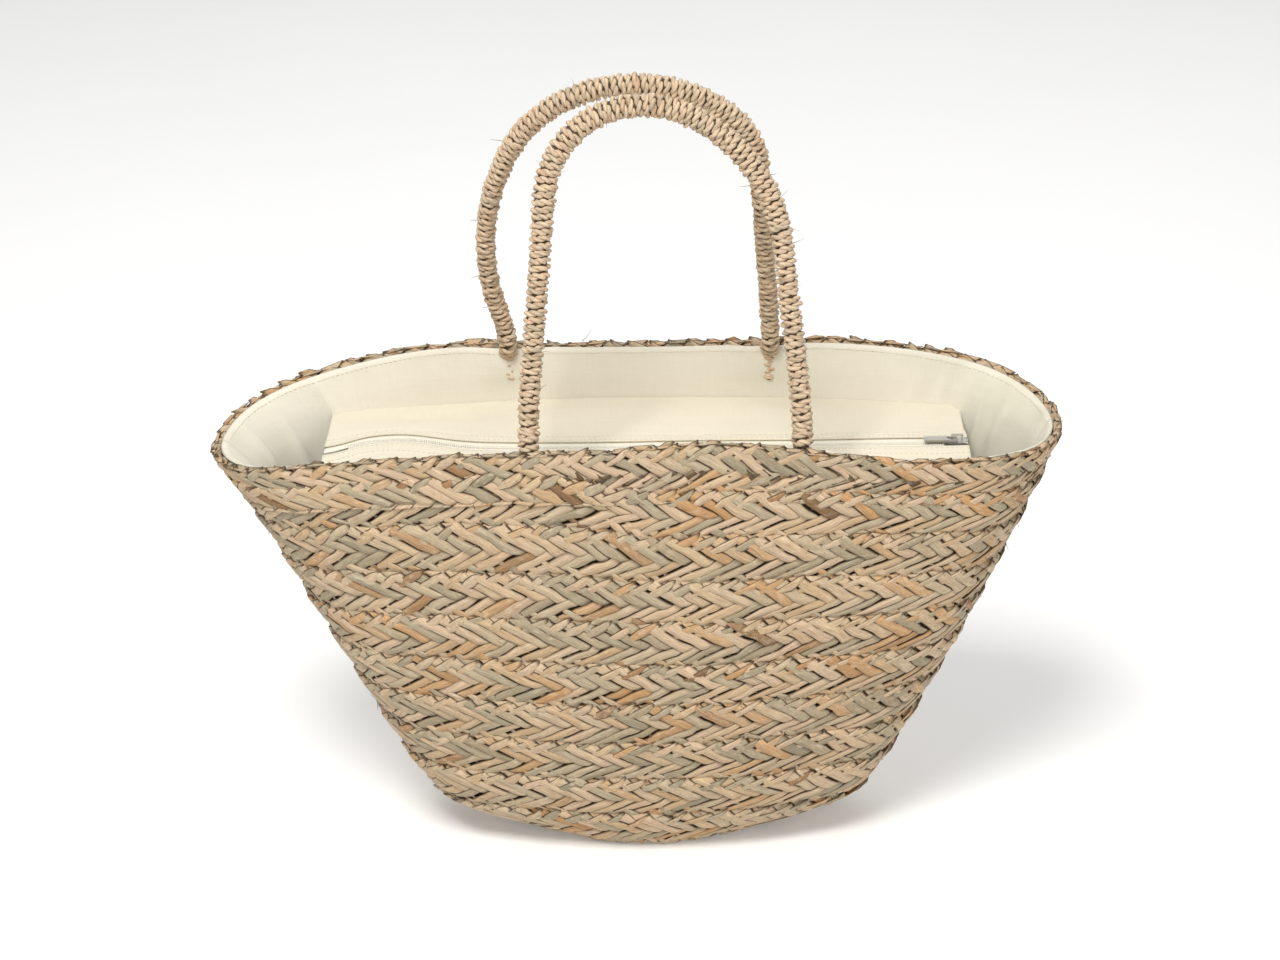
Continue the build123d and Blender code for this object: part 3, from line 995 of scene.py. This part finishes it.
def makeLining():
    made = {}
    tall = np.concatenate([np.linspace(0, 0.86, 26), np.linspace(0.88, 1.0, 12)])
    for side, start, stop in (("front", 0.25, 0.75), ("rear", 0.75, 1.25)):
        us = np.linspace(start, stop, 220)
        uu, tt = np.meshgrid(us, tall)
        rim, _ = skin(uu, np.full_like(uu, 10.0))
        top = rim[..., 2] - lining["hemDrop"]
        z = lining["bottom"] + (top - lining["bottom"]) * tt
        flatPlace, _ = liningPoint(uu, z, np.zeros_like(uu))
        x = flatPlace[..., 0]
        ends = easeStep((np.abs(x) - lining["endFrom"]) / lining["endOver"])
        ends = ends * easeStep((z - lining["foldsFrom"]) / lining["foldsOver"])
        ripple = noiseGrid(np.stack([uu * 34, z * 3.0, np.zeros_like(z)], -1), 1.0, 4.0)
        fine = noiseGrid(np.stack([uu * 90, z * 14.0, np.zeros_like(z)], -1), 1.0, 8.0)
        slack = np.sin(np.clip(tt, 0, 1) * pi) ** 0.5
        inset = lining["inset"] + slack * (0.0012 + 0.0016 * (ripple + 0.5) + 0.0005 * (fine + 0.5))
        inset = inset + ends * slack * lining["endFolds"] * np.clip(ripple + 0.45, 0, None)
        crease = noiseGrid(np.stack([uu * 62, z * 7.0, np.zeros_like(z)], -1), 1.0, 21.0)
        sharp = np.clip(1 - np.abs(crease) * 4.5, 0, None) ** 1.5
        inset = inset + ends * slack * lining["endCreases"] * sharp
        inset = inset - lining["hemIn"] * easeStep((tt - 0.93) / 0.06)
        for foot in lining["feet"][side]:
            near = np.clip(1 - ((x - foot) / lining["bulgeHalf"]) ** 2, 0, None) ** 1.2
            inset = inset + lining["bulge"] * near * easeStep((z - lining["bulgeFrom"]) / lining["bulgeOver"])
        grid, out = liningPoint(uu, z, inset)
        hem = easeStep((tt - 0.955) / 0.004)
        thick = lining["thickness"] * (1 + hem * 1.2)
        uv = np.stack([uu * 1.25, z], -1)
        piece = shell(side + "Lining", grid, out, thick, finish["lining"], uv=uv)
        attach(piece, "root")
        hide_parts(side + "_lining_panel")
        made[side] = piece
        row = int(np.argmin(np.abs(tall - (1 - stitch["hemBelow"] / 0.29))))
        seam = grid[row] - out[row] * (np.broadcast_to(thick, grid.shape[:2])[row] / 2 + 0.0001)[:, None]
        sewRow(seam[2:-2], side + "HemStitches", "root")
    around = 120  # points round the bottom
    us = np.linspace(0, 1, around, endpoint=False)
    points, under, faces = [], [], []
    # the cut is wider than the rounded floor, so its edge turns up inside the panels
    for lift in (1.0, 0.66, 0.33, 0.0):
        height = lining["turnUp"] * lift
        edge, out = liningPoint(us, np.full_like(us, lining["bottom"] + height),
                                np.full_like(us, lining["inset"] + lining["turnGap"] + 0.1 * height))
        for p, o in zip(edge, out):
            down = 0.0 if lift else lining["thickness"]
            points.append(tuple(p))
            under.append((p[0] + o[0] * lining["thickness"], p[1] + o[1] * lining["thickness"], p[2] - down))
    for share in (0.96, 0.8, 0.6, 0.4, 0.2, 0.05):
        for p in edge:
            dip = 0.0012 * noiseGrid(np.array([[p[0] * share * 18, p[1] * share * 18, 0.0]]), 1.0, 2.0)[0]
            points.append((p[0] * share, p[1] * share, lining["bottom"] + abs(dip)))
            under.append((p[0] * share, p[1] * share, lining["bottom"] + abs(dip) - lining["thickness"]))
    ringCount = len(points) // around
    for i in range(ringCount - 1):
        for j in range(around):
            k = (j + 1) % around
            faces.append((i * around + j, (i + 1) * around + j, (i + 1) * around + k, i * around + k))
    points.append((0, 0, lining["bottom"]))
    under.append((0, 0, lining["bottom"] - lining["thickness"]))
    last = (ringCount - 1) * around
    for j in range(around):
        faces.append((last + j, len(points) - 1, last + (j + 1) % around))
    lower = len(points)
    points += under
    faces += [tuple(i + lower for i in face[::-1]) for face in faces]
    for j in range(around):
        k = (j + 1) % around
        faces.append((j, k, k + lower, j + lower))
    piece = meshObject("liningBottom", points, faces, finish["lining"],
                       uv=np.array(points)[:, :2])
    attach(piece, "root")
    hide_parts("lining_bottom")
    made["bottom"] = piece
    print("lining hung")
    return made


# closure

closure = {
    "level": 0.2836, "end": 0.2157, "edge": 0.007, "thickness": 0.0012, "sag": 0.0022,
    "seam": 0.0185, "wanderBack": 0.011, "wanderEnd": 0.007, "wanderUp": 0.0025,
}


def zipWander(x):
    # the left end of the zip lifts and runs back before it comes down to its end
    bump = np.exp(-(((x + 0.168) / 0.038) ** 2))
    end = easeStep((-0.185 - x) / 0.03)
    return closure["wanderBack"] * bump - closure["wanderEnd"] * end, closure["wanderUp"] * bump


def makeFlaps():
    made = {}
    for side, sign in (("front", -1), ("rear", 1)):
        xs = np.concatenate([np.linspace(-1, -0.97, 6), np.linspace(-0.95, 0.95, 96),
                             np.linspace(0.97, 1, 6)])
        ts = np.concatenate([np.linspace(0, 0.75, 20), np.linspace(0.78, 1, 12)])
        xx, tt = np.meshgrid(xs * closure["end"], ts)
        u0 = np.linspace(0, 1, 2001)
        wall, _ = liningPoint(u0, np.full_like(u0, closure["level"]),
                              np.full_like(u0, lining["inset"] + 0.001))
        keep = wall[:, 1] * sign > 0.0
        order = np.argsort(wall[keep][:, 0])
        root = np.interp(xx[0], wall[keep][order, 0], np.abs(wall[keep][order, 1]))
        yy = root[None, :] + (closure["edge"] - root[None, :]) * tt
        place = np.stack([xx, yy * sign, np.full_like(xx, closure["level"])], -1)
        ripple = noiseGrid(place, 30.0, 2.0 + sign)
        long = noiseGrid(place * np.array((1.0, 3.0, 1.0)), 12.0, 7.0 + sign)
        free = np.sin(np.clip(tt, 0, 1) * pi)
        back, up = zipWander(xx)
        place[..., 1] += back * tt**1.5
        place[..., 2] += up * tt**1.5
        place[..., 2] += free * (-closure["sag"] + 0.0022 * long + 0.0011 * ripple)
        seamAt = (yy - closure["seam"]) / 0.0012
        place[..., 2] -= 0.0004 * np.exp(-seamAt**2)
        place[..., 2] += 0.0006 * easeStep((closure["seam"] - yy) / 0.002)
        place[..., 1] += sign * 0.0005 * np.sin(xx * 46) * easeStep((tt - 0.7) / 0.3)
        out = np.broadcast_to(np.array((0.0, 0.0, -1.0)), place.shape)
        uv = np.stack([xx, yy], -1)
        piece = shell(side + "Flap", place, out, closure["thickness"], finish["flap"], uv=uv)
        fixNormals(piece)
        side + "_flap"
        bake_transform(piece)
        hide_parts(side + "_flap", side + "_seam_strip")
        side + "Lining"
        made[side] = piece
        for number, level in enumerate(stitch["flapRows"]):
            share = (root - level) / (root - closure["edge"])
            seam = np.array([[np.interp(t, ts, place[:, column, axis]) for axis in range(3)]
                             for column, t in enumerate(share)])
            seam[:, 2] += closure["thickness"] / 2 + 0.0001
            sewRow(seam[1:-1], f"{side}FlapStitches{number + 1}", side + "_flap")
    print("flaps made")
    return made


def fixNormals(thing):
    work = bmesh.new()
    work.from_mesh(thing.data)
    bmesh.ops.recalc_face_normals(work, faces=work.faces)
    work.to_mesh(thing.data)
    work.free()


zipper = {
    "toothPitch": 0.0015, "toothWire": 0.00048,
}


def makeTooth():
    # one turn of the nylon coil: a small bent loop of wire, seen from above as a tooth
    z = zipper
    path = [(0.0, 0.0031, -0.0004), (0.0, 0.0022, 0.0005), (0.0001, 0.0010, 0.0008), (0.0002, 0.0002, 0.0005),
            (0.0003, 0.0001, -0.0004), (0.0004, 0.0012, -0.0010), (0.0005, 0.0026, -0.0010)]
    points, faces = [], []
    for k, p in enumerate(path):
        a = Vector(path[max(0, k - 1)])
        b = Vector(path[min(len(path) - 1, k + 1)])
        d = (b - a).normalized()
        side = Vector((1, 0, 0))
        up = d.cross(side).normalized()
        side = up.cross(d).normalized()
        for q in range(5):
            angle = 2 * pi * q / 5
            points.append(tuple(Vector(p) + (side * cos(angle) + up * sin(angle)) * z["toothWire"]))
    closeRings(5, len(path), faces, True)
    tooth = meshObject("tooth", points, faces)
    fixNormals(tooth)
    return tooth


def makeRowTree(unit, name):
    # repeats a small piece along the host line, turned to follow it
    tree, g, entry, leave = newTree(name, (
        ("Pitch", "NodeSocketFloat"), ("Side", "NodeSocketFloat"), ("Seed", "NodeSocketInt"),
        ("Jitter", "NodeSocketFloat"), ("Material", "NodeSocketMaterial")))
    path = g.node("GeometryNodeMeshToCurve", None, {"Mesh": entry["Geometry"]})[0]
    curve = g.node("GeometryNodeResampleCurve", {"mode": "LENGTH"},
                   {"Curve": path, "Length": entry["Pitch"]})[0]
    single = g.node("GeometryNodeObjectInfo", None, {"Object": unit})["Geometry"]
    tangent = g.node("GeometryNodeInputTangent")[0]
    turned = g.node("FunctionNodeAlignRotationToVector", {"axis": "X"}, {"Vector": tangent})[0]
    shake = g.node("FunctionNodeRandomValue", {"data_type": "FLOAT"},
                   {"Min": 0.0, "Max": 1.0, "Seed": entry["Seed"]})
    size = 1.0 + (shake["Value"] - 0.5) * entry["Jitter"]
    scale = g.combine(size, entry["Side"], 1.0)
    placed = g.node("GeometryNodeInstanceOnPoints", None,
                    {"Points": curve, "Instance": single, "Rotation": turned, "Scale": scale})[0]
    finishTree(g, leave, placed, entry["Material"])
    return tree


def makeZip():
    tooth = makeTooth()
    tree = makeRowTree(tooth, "teethAlong")
    made = {}
    for side, sign in (("front", -1), ("rear", 1)):
        low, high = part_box(side + "_zip_tape")
        clow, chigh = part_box(side + "_zip_coil")
        outer = max(abs(low.y), abs(high.y))
        xs = np.linspace(low.x, high.x, 150)
        ts = np.linspace(0, 1, 9)
        xx, tt = np.meshgrid(xs, ts)
        yy = 0.0003 + (outer - 0.0003) * tt
        level = (low.z + high.z) / 2
        place = np.stack([xx, sign * yy, np.full_like(xx, level)], -1)
        back, up = zipWander(xx)
        place[..., 1] += back
        place[..., 2] += up
        out = np.broadcast_to(np.array((0.0, 0.0, 1.0)), place.shape)
        tape = shell(side + "ZipTape", place, out, high.z - low.z, finish["tape"], uv=np.stack([xx, yy], -1))
        fixNormals(tape)
        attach(tape, side + "_flap")
        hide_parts(side + "_zip_tape")
        level = (clow.z + chigh.z) / 2
        start, stop = clow.x, chigh.x
        shift = 0.0 if sign < 0 else zipper["toothPitch"] / 2
        at = np.linspace(start + shift, stop - 0.001 + shift, 200)
        back, up = zipWander(at)
        host = lineObject("line", np.stack([at, back, up + level], -1))
        teeth = runTree(host, tree, {"Pitch": zipper["toothPitch"], "Side": float(sign), "Seed": 1,
                                     "Jitter": 0.0,
                                     "Material": finish["coil"]}, side + "ZipTeeth")
        hidden(host)
        fixNormals(teeth)
        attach(teeth, side + "_flap")
        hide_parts(side + "_zip_coil")
        made[side] = (tape, teeth)
    hidden(tooth)
    for node in ("zip_slider", "zip_puller", "zip_stop_left", "zip_stop_right"):
        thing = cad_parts[node]
        for slot in thing.material_slots:
            slot.material = finish["metal"]
    print("zip made")
    return made


# finishes

def cottonMaterial(name, colour, shadeColour, weave=1500.0):
    def build(g):
        place = g.node("ShaderNodeTexCoord")["Object"]
        x, y, _ = g.split(g.node("ShaderNodeAttribute", {"attribute_name": "UVMap"})["Vector"])
        warp = (x * weave * 2).maths("SINE") * 0.5 + 0.5
        weft = (y * weave * 2).maths("SINE") * 0.5 + 0.5
        # painted shade: cloudy darker patches towards the ends, mixed towards shadeColour, stand in for the
        # shadows of soft folds
        cloud = g.mottle(place, 11.0, 3.0)
        along, _, _ = g.split(place)
        ends = g.between(along.maths("ABSOLUTE"), 0.17, 0.25, 0.25, 1.0)
        cloud = g.between(cloud, 0.36, 0.64, 0.0, 1.0) * ends
        slubAt = g.combine(x * 60.0, y * 700.0, 0.0)
        slub = g.mottle(slubAt, 1.0, 3.0)
        slubUp = g.mottle(g.combine(x * 700.0, y * 60.0, 3.0), 1.0, 3.0)
        thread = slub * 0.5 + slubUp * 0.5
        tone = g.mix(cloud * 0.8, colour, shadeColour)
        grey = 0.93 + thread * 0.14
        tone = g.mix(1.0, tone, g.combine(grey, grey, grey), "MULTIPLY")
        height = warp * weft * 0.25 + thread * 0.75
        bump = g.node("ShaderNodeBump", None, {"Strength": 0.25, "Distance": 0.0004, "Height": height})[0]
        rough = 0.82 + thread * 0.12
        return {"Base Color": tone, "Roughness": rough, "Normal": bump, "Sheen Weight": 0.25,
                "Sheen Roughness": 0.5, "Specular IOR Level": 0.2}
    return newMaterial(name, build)


def cordMaterial(name, tones):
    def build(g):
        along = g.node("ShaderNodeAttribute", {"attribute_name": "along"})["Fac"]
        around = g.node("ShaderNodeAttribute", {"attribute_name": "around"})["Fac"]
        strand = g.node("ShaderNodeAttribute", {"attribute_name": "strand"})["Fac"]
        lengthAt = g.combine(along * 28.0, strand * 7.3, 0.0)
        patch = g.mottle(lengthAt, 1.0, 3.0, 0.7)
        pick = (patch - 0.5) * 1.9 + 0.5
        base = g.node("ShaderNodeValToRGB", {"stops": tones}, {"Fac": pick})["Color"]
        fibreAt = g.combine(along * 260.0, around * 9.0, strand * 3.1)
        fibre = g.mottle(fibreAt, 1.0, 3.0)
        blotch = g.mottle(g.combine(along * 120.0, around * 2.0, strand), 1.0, 2.0)
        dark = g.between(blotch, 0.60, 0.74, 0.0, 0.6)
        shade = 0.22 + fibre * 1.36
        tone = g.mix(1.0, base, g.combine(shade, shade, shade), "MULTIPLY")
        tone = g.mix(dark, tone, (0.30, 0.17, 0.08))
        bump = g.node("ShaderNodeBump", None, {"Strength": 0.5, "Distance": 0.0005, "Height": fibre})[0]
        return {"Base Color": tone, "Roughness": 0.58 + fibre * 0.25, "Normal": bump,
                "Specular IOR Level": 0.35}
    return newMaterial(name, build)


def shadeBackingMaterial(name):
    def build(g):
        place = g.node("ShaderNodeTexCoord")["Object"]
        grain = g.mottle(place, 260.0, 3.0)
        # painted shade: near-black tones standing for the shadow seen through the gaps between strands and
        # between the handle's wraps
        tone = g.mix(grain, (0.030, 0.018, 0.009), (0.11, 0.070, 0.036))
        bump = g.node("ShaderNodeBump", None, {"Strength": 0.6, "Distance": 0.001, "Height": grain})[0]
        return {"Base Color": tone, "Roughness": 0.8 + grain * 0.1, "Normal": bump}
    return newMaterial(name, build)


def tapeMaterial(name):
    def build(g):
        x, y, _ = g.split(g.node("ShaderNodeAttribute", {"attribute_name": "UVMap"})["Vector"])
        rib = (x * 9000.0 + y * 4000.0).maths("SINE") * 0.5 + 0.5
        place = g.node("ShaderNodeTexCoord")["Object"]
        fuzz = g.mottle(place, 900.0, 2.0)
        mixAt = rib * 0.5 + fuzz * 0.5
        tone = g.mix(mixAt, (0.70, 0.66, 0.54), (0.80, 0.76, 0.65))
        bump = g.node("ShaderNodeBump", None, {"Strength": 0.4, "Distance": 0.0003, "Height": mixAt})[0]
        return {"Base Color": tone, "Roughness": 0.7 + fuzz * 0.2, "Normal": bump}
    return newMaterial(name, build)


def coilMaterial(name):
    def build(g):
        place = g.node("ShaderNodeTexCoord")["Object"]
        spots = g.mottle(place, 420.0, 2.0)
        tone = g.mix(spots, (0.78, 0.74, 0.64), (0.66, 0.62, 0.52))
        return {"Base Color": tone, "Roughness": 0.34 + spots * 0.2}
    return newMaterial(name, build)


def metalMaterial(name):
    def build(g):
        place = g.node("ShaderNodeTexCoord")["Object"]
        x, y, z = g.split(place)
        brushed = g.mottle(g.combine(x * 300.0, y * 4000.0, z * 900.0), 1.0, 3.0)
        spots = g.mottle(place, 700.0, 2.0)
        tone = g.mix(spots, (0.66, 0.65, 0.63), (0.50, 0.49, 0.48))
        bump = g.node("ShaderNodeBump", None, {"Strength": 0.15, "Distance": 0.0002, "Height": brushed})[0]
        return {"Base Color": tone, "Roughness": 0.22 + brushed * 0.2, "Metallic": 1.0, "Normal": bump}
    return newMaterial(name, build)


def threadMaterial(name):
    def build(g):
        place = g.node("ShaderNodeTexCoord")["Object"]
        fuzz = g.mottle(place, 1600.0, 2.0)
        bump = g.node("ShaderNodeBump", None, {"Strength": 0.4, "Distance": 0.0002, "Height": fuzz})[0]
        return {"Base Color": g.mix(fuzz, (0.62, 0.57, 0.44), (0.78, 0.73, 0.60)),
                "Roughness": 0.7 + fuzz * 0.2,
                "Normal": bump}
    return newMaterial(name, build)


def floorMaterial(name):
    def build(g):
        place = g.node("ShaderNodeTexCoord")["Object"]
        cloud = g.mottle(place, 3.0, 2.0)
        return {"Base Color": g.mix(cloud, (0.82, 0.82, 0.81), (0.86, 0.86, 0.85)), "Roughness": 0.8,
                "Emission Color": (1.0, 1.0, 1.0, 1.0), "Emission Strength": 0.16}
    return newMaterial(name, build)


finish = {
    "seagrass": seagrassMaterial("seagrassPlait", "UVMap", "strand", (3.0, 9.0), seagrass["tones"]),
    "seagrassShadeBacking": shadeBackingMaterial("seagrassShadeBacking"),
    "handleCord": cordMaterial("handleCord", seagrass["cordTones"]),
    "lining": cottonMaterial("liningCotton", (0.735, 0.69, 0.585), (0.52, 0.505, 0.385)),
    "flap": cottonMaterial("flapCotton", (0.675, 0.62, 0.495), (0.61, 0.56, 0.44)),
    "tape": tapeMaterial("zipTape"),
    "coil": coilMaterial("zipCoil"),
    "metal": metalMaterial("zipMetal"),
    "thread": threadMaterial("sewingThread"),
}


# camera, light and floor

studio = {
    "target": (-0.0043, 0.0, 0.2585), "distance": 2.0, "elevation": 25.6, "yaw": 0.27, "roll": -0.79,
    "focal": 83.5, "sensor": 36.0, "worldLight": 0.40, "worldSeen": 0.6,
    "lights": (
        # place, size, watts, colour
        ((-0.5, -1.4, 2.7), 0.95, 74.0, (1.0, 0.99, 0.97)),
        ((1.5, -1.6, 1.3), 1.6, 9.0, (1.0, 0.99, 0.98)),
        ((0.2, 1.5, 2.4), 1.8, 18.0, (1.0, 1.0, 1.0)),
    ),
}


def setStudio():
    scene = bpy.context.scene
    target = Vector(studio["target"])
    up, yaw = radians(studio["elevation"]), radians(studio["yaw"])
    offset = Vector((sin(yaw) * cos(up), -cos(yaw) * cos(up), sin(up))) * studio["distance"]
    camera = bpy.data.cameras.new("camera")
    camera.lens, camera.sensor_width = studio["focal"], studio["sensor"]
    camera.clip_start, camera.clip_end = 0.05, 40.0
    holder = bpy.data.objects.new("camera", camera)
    turn = (-offset).to_track_quat("-Z", "Y").to_matrix().to_4x4()
    roll = Matrix.Rotation(radians(studio["roll"]), 4, "Z")
    holder.matrix_world = Matrix.Translation(target + offset) @ turn @ roll
    scene.collection.objects.link(holder)
    scene.camera = holder
    for number, (place, size, watts, colour) in enumerate(studio["lights"]):
        lamp = bpy.data.lights.new(f"softbox{number}", "AREA")
        lamp.shape, lamp.size, lamp.energy, lamp.color = "SQUARE", size, watts, colour
        made = bpy.data.objects.new(f"softbox{number}", lamp)
        aim = (Vector(place) - Vector((0, 0, 0.2))).to_track_quat("Z", "Y").to_matrix().to_4x4()
        made.matrix_world = Matrix.Translation(Vector(place)) @ aim
        scene.collection.objects.link(made)
    world = bpy.data.worlds.new("studio")
    world.use_nodes = True
    back = world.node_tree.nodes["Background"]
    back.inputs[0].default_value = (1.0, 1.0, 1.0, 1.0)
    rays = world.node_tree.nodes.new("ShaderNodeLightPath")
    strength = Graph(world.node_tree)
    seen = Value(strength, rays.outputs["Is Camera Ray"]) * studio["worldSeen"] + studio["worldLight"]
    world.node_tree.links.new(seen.socket, back.inputs[1])
    scene.world = world
    scene.view_settings.view_transform = "Standard"
    size = 6.0
    floor = meshObject("floor", [(-size, -size, -0.0006), (size, -size, -0.0006), (size, size, -0.0006),
                                 (-size, size, -0.0006)], [(0, 1, 2, 3)], floorMaterial("studioFloor"), False)
    print("studio set")


setStudio()
weaveBody()
makeLooseEnds()
wrapHandles()
stitchUnit = makeStitch()
stitchTree = makeRowTree(stitchUnit, "stitchesAlong")
makeLining()
makeFlaps()
hidden(stitchUnit)
makeZip()

print("basket finished")
